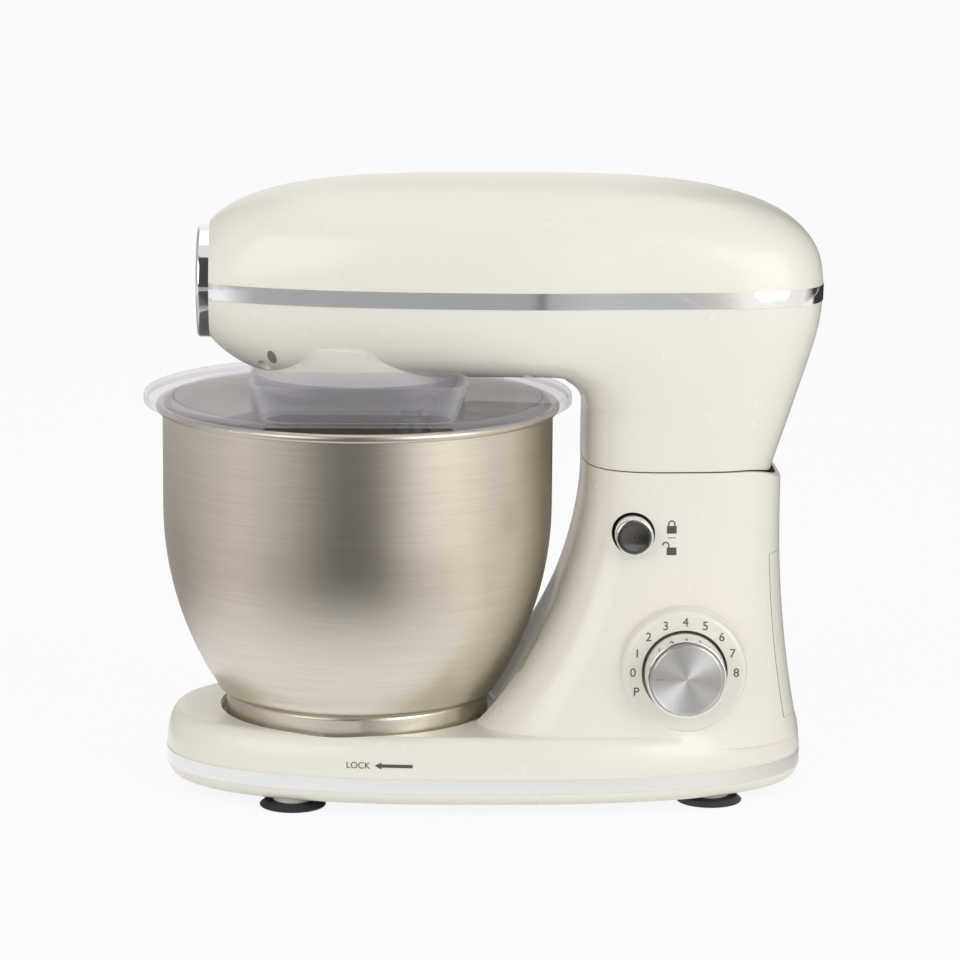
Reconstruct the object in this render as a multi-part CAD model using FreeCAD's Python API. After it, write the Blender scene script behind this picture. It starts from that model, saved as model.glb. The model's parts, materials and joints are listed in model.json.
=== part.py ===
import FreeCAD, Part
import math
import os

# Stand mixer with a tilting head, planetary drive, steel bowl and clear splash guard.
# Millimetres. The origin is on the worktop in the middle of the footprint.
# +X runs from the nose to the column, -Y is the control side, +Z is up.

V = FreeCAD.Vector
up = V(0, 0, 1)

# General fits
wall = 3.0
seat_gap = 0.3
running_gap = 0.05
split_gap = 0.8
section_points = 36

# Bowl, its axis and its foot
bowl_axis_x = -70.0
bowl_r = 110.0
bowl_rim_z = 219.5
bowl_bend_z = 160.0
bowl_side_arc_r = 187.0
bowl_bottom_z = 54.0
bowl_wall = 1.2
rim_bead_r = 2.5
foot_ring_r = 74.5
foot_ring_wall = 1.6
foot_ring_z = 37.6
lug_count = 3
lug_arc = 24.0
lug_reach = 2.2
lug_height = 2.2

# Base
base_half_length = 181.0
base_half_width = 90.0
base_middle_x = 2.75
base_power = 2.45
base_bottom_z = 6.0
base_side_low_z = 14.0
base_side_high_z = 22.0
base_top_z = 44.0
base_shoulder = 11.0
base_lip = 8.0
base_trim_depth = 1.2
base_trim_proud = 0.5
plate_thickness = 3.0
plate_margin = 13.0
recess_r = 78.0
recess_depth = 8.0

# Feet
front_foot_inset = 72.25
front_foot_y = 60.0
rear_foot_inset = 55.75
rear_foot_y = 50.0
foot_r = 18.5
foot_height = 3.6
foot_stem_r = 11.0
foot_peg_r = 3.5

# Column
neck_front_x = 56.5
column_front_arc_r = 191.0
column_front_arc_z = 187.0
column_back_x = 168.5
column_back_arc_r = 620.0
column_back_arc_z = 160.0
column_half_width = 58.0
column_side_arc_r = 570.0
column_power = 3.2
column_taper_top = 0.04
column_taper_rate = 0.00075
column_foot_z = 34.0
scoop_gap = 9.0
rear_cover_depth = 9.0
rear_cover_low_z = 46.0
rear_cover_high_z = 140.0

# Tilt hinge and the split between head and column
split_z = 189.0
hinge_x = 144.0
hinge_z = 150.0
hinge_pin_r = 5.0
hinge_eye_r = 11.0
hinge_arm_y = 36.0
hinge_arm_thickness = 4.0
arm_neck = 12.0
yoke_y = 28.0
yoke_thickness = 6.0

# Head form
nose_x = -153.0
belt_z = 285.5
belt_height = 9.0
belt_proud = 0.5
belt_depth = 2.4
head_top_z = 347.5
head_underside_z = 237.5
head_half_width = 68.0
head_widest_x = 40.0
head_width_reach = 209.2
head_width_power = 2.4
head_crest_x = 20.0
head_crest_reach = 181.5
head_crest_power = 3.4
hull_curve_x = -110.0
hull_curve_reach = 54.5
head_back_x = 190.0
head_back_z = 288.0
head_back_power = 2.65
head_back_arc_r = 113.0
head_back_lean = 18.0
bend_r = 21.0
neck_half_width = 59.5
dome_power = 2.6
hull_power = 4.0
nose_power = 2.0
nose_cap_r = 31.5
nose_cap_depth = 8.0
nose_cap_edge = 2.0
nose_cap_rise = 1.1
nose_cap_z = 287.0

# Splash guard
guard_r = 120.5
guard_z = 222.6
guard_thickness = 2.4
guard_lip = 2.6
guard_ring_r = 105.0
guard_ring_depth = 6.0
collar_r = 60.6
collar_wall = 1.5
collar_top_z = 236.3
chute_top_z = 246.0
chute_wall = 2.0
chute_foot_half = 53.0
chute_top_half = 59.0
chute_rim_gap = 12.5
chute_foot_front = guard_r - chute_rim_gap
chute_bulge = 0.6
chute_top_front = guard_r - chute_bulge
chute_back = 66.0
chute_corner = 14.0

# Planetary drive
skirt_r = 58.6
skirt_top_r = 60.0
skirt_wall = 3.0
skirt_seam_z = 234.0
skirt_inside_z = 256.0
planetary_r = 56.5
planetary_bottom_z = 226.0
planetary_gap = 0.5
ring_teeth = 36
planet_teeth = 12
planet_module = 2.5
ring_gear_z = 239.0
ring_gear_height = 10.0
gear_deck_thickness = 3.0
carrier_shaft_r = 7.0
tool_shaft_r = 6.0
tool_shaft_bottom_z = 190.0
shaft_pin_z = 206.0
tool_boss_r = 13.0
tool_boss_z = 216.0
bush_wall = 2.5
main_teeth = 48
pinion_teeth = 12
drive_module = 1.25
main_gear_z = 256.0
main_gear_height = 7.0
tooth_slack = 0.35

# Belt, chassis and motor
chassis_z = 268.0
chassis_thickness = 3.0
layshaft_r = 4.0
motor_x = 105.0
motor_r = 38.0
motor_low_z = 205.0
motor_cap = 6.0
motor_shaft_r = 4.0
rotor_r = 24.0
stator_low_z = 222.0
stator_high_z = 250.0
can_wall = 2.0
bearing_r = 9.0
pulley_z = 274.0
pulley_height = 10.0
driven_pulley_r = 32.0
motor_pulley_r = 8.0
pulley_flange = 2.0
belt_thickness = 1.5
fan_r = 34.0
fan_height = 7.0
fan_blades = 9

# Beater
beater_half_width = 57.0
beater_bottom_half = 40.0
beater_bottom_z = 61.0
beater_wide_z = 102.0
beater_top_z = 176.0
beater_thickness = 8.0
beater_bar = 9.0
beater_socket_r = 11.0
beater_socket_top_z = 211.0

# Speed dial
dial_x = 111.0
dial_z = 79.5
bezel_r = 35.5
bezel_face_r = 31.5
bezel_face_y = -74.5
knob_r = 23.0
knob_tip_r = 22.0
knob_gap = 0.9
knob_face_y = -92.0
knob_shaft_r = 3.0

# Release button and latch
button_x = 82.6
button_z = 154.6
button_r = 10.5
button_hole_r = 11.9
button_face_y = -69.5
button_edge = 1.2
button_hollow = 0.4
spring_turns = 5
spring_coil_r = 7.0
spring_wire_r = 0.6
button_inner_y = -52.0
sleeve_end_y = -40.0
latch_rod_r = 4.0

# Cord gland
gland_y = 45.0
gland_z = 31.0
gland_r = 7.5
gland_bore_r = 3.6

planet_orbit = planet_module * (ring_teeth - planet_teeth) / 2
tool_x = bowl_axis_x + planet_orbit
layshaft_x = bowl_axis_x + drive_module * (main_teeth + pinion_teeth) / 2
belt_low_z = belt_z - belt_height / 2
belt_high_z = belt_z + belt_height / 2
bend_x = neck_front_x - bend_r
bend_z = head_underside_z - bend_r
recess_floor_z = base_top_z - recess_depth
split_arc_r = split_z - hinge_z
chassis_top_z = chassis_z + chassis_thickness
gear_deck_z = ring_gear_z + ring_gear_height
front_foot_x = base_middle_x - base_half_length + front_foot_inset
rear_foot_x = base_middle_x + base_half_length - rear_foot_inset
foot_spots = [(x, side * y) for x, y in ((front_foot_x, front_foot_y), (rear_foot_x, rear_foot_y))
              for side in (-1, 1)]


def block(x0, x1, y0, y1, z0, z1):
    return Part.makeBox(x1 - x0, y1 - y0, z1 - z0, V(x0, y0, z0))


def rod(radius, z0, z1, x, y=0.0):
    return Part.makeCylinder(radius, z1 - z0, V(x, y, z0), up)


def rod_y(radius, y0, y1, x, z):
    return Part.makeCylinder(radius, y1 - y0, V(x, y0, z), V(0, 1, 0))


def rod_x(radius, x0, x1, y, z):
    return Part.makeCylinder(radius, x1 - x0, V(x0, y, z), V(1, 0, 0))


def tube(outer, inner, z0, z1, x, y=0.0):
    return rod(outer, z0, z1, x, y).cut(rod(inner, z0 - 1, z1 + 1, x, y))


def joined(shapes):
    whole = shapes[0]
    for shape in shapes[1:]:
        whole = whole.fuse(shape)
    return whole


def path(place, start, steps):
    # A step is the end of a straight stretch, or the middle and the end of an arc.
    edges = []
    here = place(*start)
    for step in steps + [start]:
        if isinstance(step[0], tuple):
            end = place(*step[1])
            edges.append(Part.Arc(here, place(*step[0]), end).toShape())
        else:
            end = place(*step)
            if end.distanceToPoint(here) > 1e-6:
                edges.append(Part.makeLine(here, end))
        here = end
    return Part.Wire(edges)


def turned(axis_x, start, steps, axis_y=0.0):
    wire = path(lambda r, z: V(axis_x + r, axis_y, z), start, steps)
    return Part.Face(wire).revolve(V(axis_x, axis_y, 0), up, 360)


def turned_y(x, z, start, steps):
    wire = path(lambda r, y: V(x + r, y, z), start, steps)
    return Part.Face(wire).revolve(V(x, 0, z), V(0, 1, 0), 360)


def turned_x(y, z, start, steps):
    wire = path(lambda r, x: V(x, y, z + r), start, steps)
    return Part.Face(wire).revolve(V(0, y, z), V(1, 0, 0), 360)


def crown(r, rise):
    # Middle of a ball-shaped dome's arc: its radius, and its drop from the highest point.
    ball_r = (r * r + rise * rise) / (2 * rise)
    angle = math.asin(r / ball_r) / 2
    return ball_r * math.sin(angle), ball_r * (1 - math.cos(angle))


def side_plate(y0, y1, start, steps):
    wire = path(lambda x, z: V(x, y0, z), start, steps)
    return Part.Face(wire).extrude(V(0, y1 - y0, 0))


def flat_plate(z0, z1, start, steps):
    wire = path(lambda x, y: V(x, y, z0), start, steps)
    return Part.Face(wire).extrude(V(0, 0, z1 - z0))


def section(centre, out, reach_out, reach_in, half_width, power_out, power_in, taper=0.0):
    # Closed rounded outline: out is the long direction and Y the wide one.
    points = []
    for k in range(section_points):
        turn = 2 * math.pi * k / section_points
        c = math.cos(turn)
        s = math.sin(turn)
        reach = reach_out if c >= 0 else reach_in
        power = power_out if c >= 0 else power_in
        size = (abs(c / reach) ** power + abs(s / half_width) ** power) ** (-1 / power)
        across = size * s * (1 - taper * size * c / reach)
        points.append(centre + out * (size * c) + V(0, across, 0))
    knots = [k / section_points for k in range(section_points + 1)]
    curve = Part.BSplineCurve()
    curve.interpolate(Points=points, PeriodicFlag=True, Parameters=knots)
    return Part.Wire(curve.toShape())


def loft(wires, ruled=False):
    body = Part.makeLoft(wires, True, ruled)
    if body.Volume < 0:
        body.reverse()
    return body


def mix(a, b, share):
    return a + (b - a) * share


# Head

def round_off(distance, reach, power):
    return max(1 - (abs(distance) / reach) ** power, 0) ** (1 / power)


def head_back(z):
    lean = math.radians(head_back_lean)
    bend_low = head_back_z - head_back_arc_r * math.sin(lean)
    if z >= bend_low:
        return head_back_x - head_back_arc_r + math.sqrt(head_back_arc_r ** 2 - (head_back_z - z) ** 2)
    return head_back_x - head_back_arc_r * (1 - math.cos(lean)) - (bend_low - z) * math.tan(lean)


def head_solid(inset):
    # Tube bent from the nose, over the bowl, down into the neck.
    wires = []
    for x in (nose_x, -151, -147, -140, -128, -110, -85, -55, -20, bend_x):
        rise = head_top_z - belt_z
        if x < head_crest_x:
            rise = rise * round_off(x - head_crest_x, head_crest_reach, head_crest_power)
        drop = belt_z - head_underside_z
        if x < hull_curve_x:
            drop = drop * round_off(x - hull_curve_x, hull_curve_reach, 2)
        half = head_half_width * round_off(x - head_widest_x, head_width_reach, head_width_power)
        nearness = min((x - nose_x) / (hull_curve_x - nose_x), 1)
        low_power = mix(nose_power, hull_power, nearness)
        high_power = mix(nose_power, dome_power, nearness)
        centre = V(max(x, nose_x + inset) if x == nose_x else x + inset * (1 - nearness), 0, belt_z)
        wires.append(section(centre, up, rise - inset, drop - inset, half - inset, high_power, low_power))
    outer = []
    for turn in (22, 40, 54, 66, 77, 90):
        s = math.sin(math.radians(turn)) ** (2 / head_back_power)
        c = math.cos(math.radians(turn)) ** (2 / head_back_power)
        outer.append((mix(bend_x, head_back_x, s), mix(head_back_z, head_top_z, c)))
    outer = outer + [(head_back(z), z) for z in (268, 246, bend_z)]
    for x, z in outer:
        angle = math.atan2(x - bend_x, z - bend_z)
        share = angle / (math.pi / 2)
        out = V(math.sin(angle), 0, math.cos(angle))
        reach = math.hypot(x - bend_x, z - bend_z)
        middle = mix(belt_z - bend_z, (bend_r + reach) / 2, share)
        half = mix(head_half_width, neck_half_width, share)
        low_power = mix(hull_power, column_power, share)
        high_power = mix(dome_power, column_power, share)
        centre = V(bend_x, 0, bend_z) + out * middle
        wires.append(section(centre, out, reach - middle - inset, middle - bend_r - inset, half - inset,
                             high_power, low_power, column_taper_top * share))
    for z in (203, split_z, 172):
        share = (bend_z - z) / (bend_z - split_z)
        middle = (neck_front_x + head_back(z)) / 2
        half_length = (head_back(z) - neck_front_x) / 2 - inset
        half = mix(neck_half_width, column_half_width, share) - inset
        wires.append(section(V(middle, 0, z), V(1, 0, 0), half_length, half_length, half,
                             column_power, column_power, column_taper_top))
    return loft(wires)


def below_split():
    plane = block(-300, hinge_x, -200, 200, 100, split_z + split_gap / 2)
    drum = rod_y(split_arc_r + split_gap / 2, -200, 200, hinge_x, hinge_z)
    behind = block(hinge_x - 1, 300, -200, 200, 60, hinge_z + 8)
    return joined([plane, drum, behind])


head_outer = head_solid(0).cut(below_split())
head_inner = head_solid(wall)
head_middle = head_solid(wall / 2).cut(below_split())
head_form = head_outer.cut(head_inner)
low_zone = block(-300, 300, -200, 200, 0, belt_low_z)
high_zone = block(-300, 300, -200, 200, belt_high_z, 500)
belt_zone = block(-300, 300, -200, 200, belt_low_z, belt_high_z)

head_screw_spots = [(-122, -37), (-122, 37), (24, -50), (24, 50)]
head_screw_seat_z = 262.0
head_boss_r = 5.5
head_boss_top_z = 284.0
chassis_post_spots = [(8, -34), (8, 34), (-138, -12), (-138, 12)]
chassis_post_r = 5.0
small_screw_r = 1.6
small_head_r = 3.0


def skirt_form(inner_r, outer_shift):
    low = skirt_r + outer_shift
    high = skirt_top_r + outer_shift
    return turned(bowl_axis_x, (inner_r, skirt_seam_z),
                  [(low, skirt_seam_z), (low, collar_top_z + 1), (high, skirt_inside_z),
                   (inner_r, skirt_inside_z)])


def make_lower_housing():
    shell = head_form.common(low_zone)
    extras = [skirt_form(skirt_r - skirt_wall, 0)]
    for x, y in head_screw_spots:
        extras.append(rod(head_boss_r, head_underside_z - 1.5, head_boss_top_z - 2, x, y).common(head_middle))
    for x, y in chassis_post_spots:
        extras.append(rod(chassis_post_r, head_underside_z - 1.5, chassis_z, x, y).common(head_middle))
    housing = joined([shell] + extras)
    housing = housing.cut(rod(skirt_r - skirt_wall, 200, chassis_z - 1, bowl_axis_x))
    for x, y in head_screw_spots:
        housing = housing.cut(rod(small_head_r + 0.4, 220, head_screw_seat_z, x, y))
        housing = housing.cut(rod(small_screw_r, 220, 300, x, y))
    for x, y in chassis_post_spots:
        housing = housing.cut(rod(small_screw_r, chassis_z - 12, chassis_z + 1, x, y))
    return housing


def head_roof(x, y):
    # Height of the inside of the dome.
    crest = round_off(min(x - head_crest_x, 0), head_crest_reach, head_crest_power)
    rise = (head_top_z - belt_z) * crest - wall
    half = head_half_width * round_off(x - head_widest_x, head_width_reach, head_width_power) - wall
    return belt_z + rise * round_off(y, half, dome_power)


def make_upper_cover():
    cover = head_form.common(high_zone)
    post_r = head_boss_r - 0.7
    posts = []
    for x, y in head_screw_spots:
        rim = [(x - post_r, y), (x + post_r, y), (x, y - post_r), (x, y + post_r)]
        lowest = min(head_roof(a, b) for a, b in rim)
        posts.append(rod(post_r, head_boss_top_z, lowest + 0.8 * wall, x, y))
    cover = joined([cover] + posts)
    for x, y in head_screw_spots:
        cover = cover.cut(rod(small_screw_r, head_boss_top_z - 1, head_boss_top_z + 10, x, y))
    return cover


def make_head_trim():
    band = head_solid(-belt_proud).common(belt_zone)
    return band.cut(head_solid(belt_depth))


def make_nose_cap():
    edge = nose_cap_edge
    front = nose_x - nose_cap_depth
    rim = front + nose_cap_rise
    bevel = edge * (1 - math.sqrt(0.5))
    middle_r, drop = crown(nose_cap_r - edge, nose_cap_rise)
    return turned_x(0, nose_cap_z, (0, nose_x),
                    [(nose_cap_r, nose_x), (nose_cap_r, rim + edge),
                     ((nose_cap_r - bevel, rim + bevel), (nose_cap_r - edge, rim)),
                     ((middle_r, front + drop), (0, front))])


def screw(head_r, head_height, shank_r, shank_length):
    # Pan head screw pointing up, underside of the head at the origin.
    head = Part.makeCylinder(head_r, head_height, V(0, 0, -head_height), up)
    shank = Part.makeCylinder(shank_r, shank_length, V(0, 0, -0.1), up)
    whole = head.fuse(shank).removeSplitter()
    slot = head_r * 0.7
    for a, b in ((slot, 0.4), (0.4, slot)):
        whole = whole.cut(block(-a, a, -b, b, -head_height - 1, -head_height * 0.5))
    return whole


def placed(shape, x, y, z, axis=None, angle=0):
    copy = shape.copy()
    if axis is not None:
        copy.rotate(V(0, 0, 0), axis, angle)
    copy.translate(V(x, y, z))
    return copy


def make_head_screws():
    one = screw(small_head_r, 2.2, small_screw_r, head_boss_top_z + 9 - head_screw_seat_z)
    return Part.makeCompound([placed(one, x, y, head_screw_seat_z) for x, y in head_screw_spots])


# Chassis, hinge arms, motor and belt

bearing_spots = ((bowl_axis_x, carrier_shaft_r), (layshaft_x, layshaft_r))


def make_chassis():
    room = head_solid(wall + 2)
    plate = block(-144, 148, -100, 100, chassis_z, chassis_top_z).common(room)
    for x, shaft in bearing_spots:
        plate = plate.cut(rod(shaft + bush_wall, chassis_z - 1, chassis_top_z + 1, x))
    plate = plate.cut(rod(bearing_r + 1.5, chassis_z - 1, chassis_top_z + 1, motor_x))
    for x, y in head_screw_spots:
        plate = plate.cut(rod(head_boss_r + 1, chassis_z - 1, chassis_top_z + 1, x, y))
    for x, y in chassis_post_spots:
        plate = plate.cut(rod(small_screw_r, chassis_z - 1, chassis_top_z + 1, x, y))
    return plate


def make_chassis_screws():
    one = screw(small_head_r, 2.2, small_screw_r, 10)
    return Part.makeCompound([placed(one, x, y, chassis_top_z, V(1, 0, 0), 180)
                              for x, y in chassis_post_spots])


def make_hinge_arms():
    arms = []
    for y in (-hinge_arm_y - hinge_arm_thickness, hinge_arm_y):
        blade = side_plate(y, y + hinge_arm_thickness, (hinge_x - 8, hinge_z - 6),
                           [(hinge_x + 2, hinge_z + 10), (hinge_x - arm_neck, split_z), (hinge_x + 2, bend_z),
                            (hinge_x + 2, chassis_z), (hinge_x - 24, chassis_z), (hinge_x - 24, bend_z)])
        eye = rod_y(hinge_eye_r, y, y + hinge_arm_thickness, hinge_x, hinge_z)
        arm = joined([blade, eye])
        arms.append(arm.cut(rod_y(hinge_pin_r + running_gap, y - 1, y + 9, hinge_x, hinge_z)))
    return Part.makeCompound(arms)


motor_high_z = chassis_z
can_low_z = motor_low_z + motor_cap
can_high_z = motor_high_z - motor_cap


def make_motor_can():
    body = tube(motor_r, motor_r - can_wall, can_low_z, can_high_z, motor_x)
    lid = tube(motor_r, bearing_r, can_high_z, motor_high_z, motor_x)
    can = joined([body, lid])
    for turn in (45, 135, 225, 315):
        window = block(motor_r - 6, motor_r + 6, -9, 9, can_low_z + 5, stator_low_z - 1)
        window.rotate(V(0, 0, 0), up, turn)
        window.translate(V(motor_x, 0, 0))
        can = can.cut(window)
    return can


def make_motor_end_cap():
    cap = tube(motor_r, bearing_r, motor_low_z, can_low_z, motor_x)
    for k in range(6):
        turn = math.radians(60 * k + 30)
        x = motor_x + 23 * math.cos(turn)
        cap = cap.cut(rod(6.5, motor_low_z - 1, can_low_z + 1, x, 23 * math.sin(turn)))
    return cap


def make_motor_bearings():
    rings = [tube(bearing_r, motor_shaft_r + running_gap, z, z + motor_cap, motor_x)
             for z in (motor_low_z, can_high_z)]
    return Part.makeCompound(rings)


def make_stator():
    core = tube(motor_r - can_wall, rotor_r + 0.6, stator_low_z, stator_high_z, motor_x)
    return core


def make_field_windings():
    rings = [turned(motor_x, (27, z),
                    [(34, z), ((35.4, z + 3), (34, z + 6)), (27, z + 6), ((25.6, z + 3), (27, z))])
             for z in (stator_low_z - 6, stator_high_z)]
    return Part.makeCompound(rings)


def make_rotor():
    core = rod(rotor_r, stator_low_z, stator_high_z, motor_x)
    for k in range(12):
        slot = block(rotor_r - 7, rotor_r + 2, -1.2, 1.2, stator_low_z - 1, stator_high_z + 1)
        slot.rotate(V(0, 0, 0), up, 30 * k)
        slot.translate(V(motor_x, 0, 0))
        core = core.cut(slot)
    return core.cut(rod(motor_shaft_r, 0, 400, motor_x))


def make_rotor_windings():
    heads = [turned(motor_x, (motor_shaft_r, z),
                    [(18, z), ((20.5, z + 3), (18, z + 6)), (motor_shaft_r, z + 6)])
             for z in (stator_low_z - 6, stator_high_z)]
    return Part.makeCompound(heads)


def pulley(x, radius, shaft):
    low = pulley_z
    high = pulley_z + pulley_height
    rim = radius + pulley_flange
    return turned(x, (shaft, low), [(rim, low), (rim, low + 1.2), (radius, low + 1.6), (radius, high - 1.6),
                                    (rim, high - 1.2), (rim, high), (shaft, high)])


def make_motor_pulley():
    return pulley(motor_x, motor_pulley_r, motor_shaft_r)


def make_driven_pulley():
    wheel = pulley(layshaft_x, driven_pulley_r, layshaft_r)
    for k in range(5):
        turn = math.radians(72 * k + 36)
        x = layshaft_x + 19 * math.cos(turn)
        wheel = wheel.cut(rod(7, pulley_z - 1, pulley_z + pulley_height + 1, x, 19 * math.sin(turn)))
    return wheel


def belt_loop(spread):
    big = driven_pulley_r + seat_gap + spread
    small = motor_pulley_r + seat_gap + spread
    lean = math.asin((big - small) / (motor_x - layshaft_x))
    sides = []
    for radius, x in ((big, layshaft_x), (small, motor_x)):
        sides.append((x + radius * math.sin(lean), radius * math.cos(lean)))
    (bx, by), (sx, sy) = sides
    return flat_plate(pulley_z + 2.2, pulley_z + pulley_height - 2.2, (bx, by),
                      [(sx, sy), ((motor_x + small, 0), (sx, -sy)),
                       (bx, -by), ((layshaft_x - big, 0), (bx, by))])


def make_belt():
    return belt_loop(belt_thickness).cut(belt_loop(0))


def make_fan():
    top = motor_low_z - 1.2
    low = top - fan_height
    fan = joined([rod(8, low, top, motor_x), tube(fan_r, 7, top - 1.2, top, motor_x)])
    blades = []
    for k in range(fan_blades):
        blade = block(7, fan_r, -0.8, 0.8, low, top - 0.6)
        blade.rotate(V(7, 0, 0), up, 18)
        blade.rotate(V(0, 0, 0), up, 360 * k / fan_blades)
        blade.translate(V(motor_x, 0, 0))
        blades.append(blade.common(rod(fan_r, low, top, motor_x)))
    return joined([fan] + blades).cut(rod(motor_shaft_r, low - 1, top + 1, motor_x))


def make_motor_shaft():
    return rod(motor_shaft_r, motor_low_z - fan_height - 3, pulley_z + pulley_height + 2, motor_x)


# Gears

def gear_face(teeth, module, addendum, dedendum, slack):
    pitch_r = module * teeth / 2
    pressure = math.radians(20)
    base_r = pitch_r * math.cos(pressure)
    tip_r = pitch_r + addendum
    root_r = pitch_r - dedendum
    start_r = max(root_r, base_r)
    half = math.pi / (2 * teeth) - slack / (2 * pitch_r)

    def flank(radius):
        tilt = math.acos(min(base_r / radius, 1))
        return half + math.tan(pressure) - pressure - math.tan(tilt) + tilt

    def spot(radius, turn):
        return V(radius * math.cos(turn), radius * math.sin(turn), 0)

    edges = []
    middle_r = (start_r + tip_r) / 2
    for k in range(teeth):
        centre = 2 * math.pi * k / teeth
        after = centre + 2 * math.pi / teeth
        foot = flank(start_r)
        low = spot(start_r, centre - foot)
        high = spot(tip_r, centre - flank(tip_r))
        other_high = spot(tip_r, centre + flank(tip_r))
        other_low = spot(start_r, centre + foot)
        if root_r < start_r:
            edges.append(Part.makeLine(spot(root_r, centre - foot), low))
        edges.append(Part.Arc(low, spot(middle_r, centre - flank(middle_r)), high).toShape())
        edges.append(Part.Arc(high, spot(tip_r, centre), other_high).toShape())
        edges.append(Part.Arc(other_high, spot(middle_r, centre + flank(middle_r)), other_low).toShape())
        if root_r < start_r:
            edges.append(Part.makeLine(other_low, spot(root_r, centre + foot)))
        valley = (centre + after) / 2
        edges.append(Part.Arc(spot(root_r, centre + foot), spot(root_r, valley),
                              spot(root_r, after - foot)).toShape())
    return Part.Face(Part.Wire(edges))


def gear(teeth, module, x, z0, z1, bore, turn=0.0):
    face = gear_face(teeth, module, 0.8 * module, 1.05 * module, tooth_slack)
    body = face.extrude(V(0, 0, z1 - z0))
    body.rotate(V(0, 0, 0), up, turn)
    body.translate(V(x, 0, z0))
    return body.cut(rod(bore, z0 - 1, z1 + 1, x))


def make_ring_gear():
    body = rod(skirt_r - skirt_wall - seat_gap, ring_gear_z, gear_deck_z, bowl_axis_x)
    spaces = gear_face(ring_teeth, planet_module, 1.05 * planet_module, 0.8 * planet_module, -tooth_slack)
    hollow = spaces.extrude(V(0, 0, ring_gear_height + 2))
    hollow.translate(V(bowl_axis_x, 0, ring_gear_z - 1))
    return body.cut(hollow)


def make_gear_deck():
    deck = rod(skirt_r - skirt_wall - seat_gap, gear_deck_z, gear_deck_z + gear_deck_thickness, bowl_axis_x)
    for x, shaft in bearing_spots:
        deck = deck.cut(rod(shaft + bush_wall, gear_deck_z - 1, chassis_z, x))
    return deck


def make_shaft_bushes():
    bushes = []
    for x, shaft in bearing_spots:
        for low, high in ((gear_deck_z, gear_deck_z + 4.5), (chassis_z - 2, chassis_top_z + 1)):
            bushes.append(tube(shaft + bush_wall, shaft + running_gap, low, high, x))
    return Part.makeCompound(bushes)


def make_planetary_housing():
    top = skirt_seam_z - planetary_gap
    floor = planetary_bottom_z + 3
    cup = turned(bowl_axis_x, (0, planetary_bottom_z),
                 [(planetary_r - 6, planetary_bottom_z),
                  ((planetary_r - 1.8, planetary_bottom_z + 1.8), (planetary_r, planetary_bottom_z + 6)),
                  (planetary_r, top), (planetary_r - 3, top), (planetary_r - 3, floor), (0, floor)])
    boss = rod(tool_boss_r, tool_boss_z, ring_gear_z - 1, tool_x)
    hub = rod(carrier_shaft_r + 4, planetary_bottom_z, ring_gear_z - 1, bowl_axis_x)
    housing = joined([cup, boss, hub])
    housing = housing.cut(rod(carrier_shaft_r, floor, 300, bowl_axis_x))
    return housing.cut(rod(tool_shaft_r + bush_wall, 200, 300, tool_x))


def make_tool_bush():
    return tube(tool_shaft_r + bush_wall, tool_shaft_r + running_gap, tool_boss_z, ring_gear_z - 1, tool_x)


def make_carrier_shaft():
    return rod(carrier_shaft_r, planetary_bottom_z + 3, chassis_top_z + 2, bowl_axis_x)


def make_main_gear():
    top = main_gear_z + main_gear_height
    return gear(main_teeth, drive_module, bowl_axis_x, main_gear_z, top, carrier_shaft_r)


def make_layshaft():
    return rod(layshaft_r, gear_deck_z, pulley_z + pulley_height + 2, layshaft_x)


def make_layshaft_pinion():
    half_pitch = 180 / pinion_teeth
    top = main_gear_z + main_gear_height + 0.4
    return gear(pinion_teeth, drive_module, layshaft_x, main_gear_z - 0.4, top,
                layshaft_r, half_pitch)


def make_tool_shaft():
    shaft = rod(tool_shaft_r, tool_shaft_bottom_z, gear_deck_z - 0.6, tool_x)
    return shaft.cut(rod_y(1.6, -20, 20, tool_x, shaft_pin_z))


def make_planet_pinion():
    return gear(planet_teeth, planet_module, tool_x, ring_gear_z, gear_deck_z - 0.6, tool_shaft_r)


def make_shaft_pin():
    return rod_y(1.6, -tool_shaft_r - 3.5, tool_shaft_r + 3.5, tool_x, shaft_pin_z)


def beater_leaf(inset):
    half = beater_half_width - inset
    low_half = beater_bottom_half - inset * 0.6
    low = beater_bottom_z + inset
    high = beater_top_z - inset * 1.6
    tip = 9
    shoulder = beater_wide_z + 26
    right = [((tool_x + half * 0.93, beater_wide_z - 22), (tool_x + half, beater_wide_z)),
             ((tool_x + half * 0.96, shoulder - 6), (tool_x + half * 0.8, shoulder + 8)),
             (tool_x + tip, high)]
    left = [(tool_x - tip, high), (tool_x - half * 0.8, shoulder + 8),
            ((tool_x - half * 0.96, shoulder - 6), (tool_x - half, beater_wide_z)),
            ((tool_x - half * 0.93, beater_wide_z - 22), (tool_x - low_half, low))]
    return side_plate(-beater_thickness / 2, beater_thickness / 2, (tool_x + low_half, low), right + left)


def make_beater():
    frame = beater_leaf(0)
    window = beater_leaf(beater_bar)
    middle = block(tool_x - beater_bar / 2, tool_x + beater_bar / 2, -20, 20, 40, 220)
    cross_z = beater_wide_z + 8
    cross = block(tool_x - 80, tool_x + 80, -20, 20, cross_z, cross_z + beater_bar * 0.8)
    frame = frame.cut(window.cut(middle).cut(cross))
    socket = rod(beater_socket_r, beater_top_z - 14, beater_socket_top_z, tool_x)
    whole = joined([frame, socket])
    whole = whole.cut(rod(tool_shaft_r + 0.1, tool_shaft_bottom_z - 0.5, 230, tool_x))
    return whole.cut(rod_y(1.7, -30, 30, tool_x, shaft_pin_z))


# Splash guard and feed chute

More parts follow.
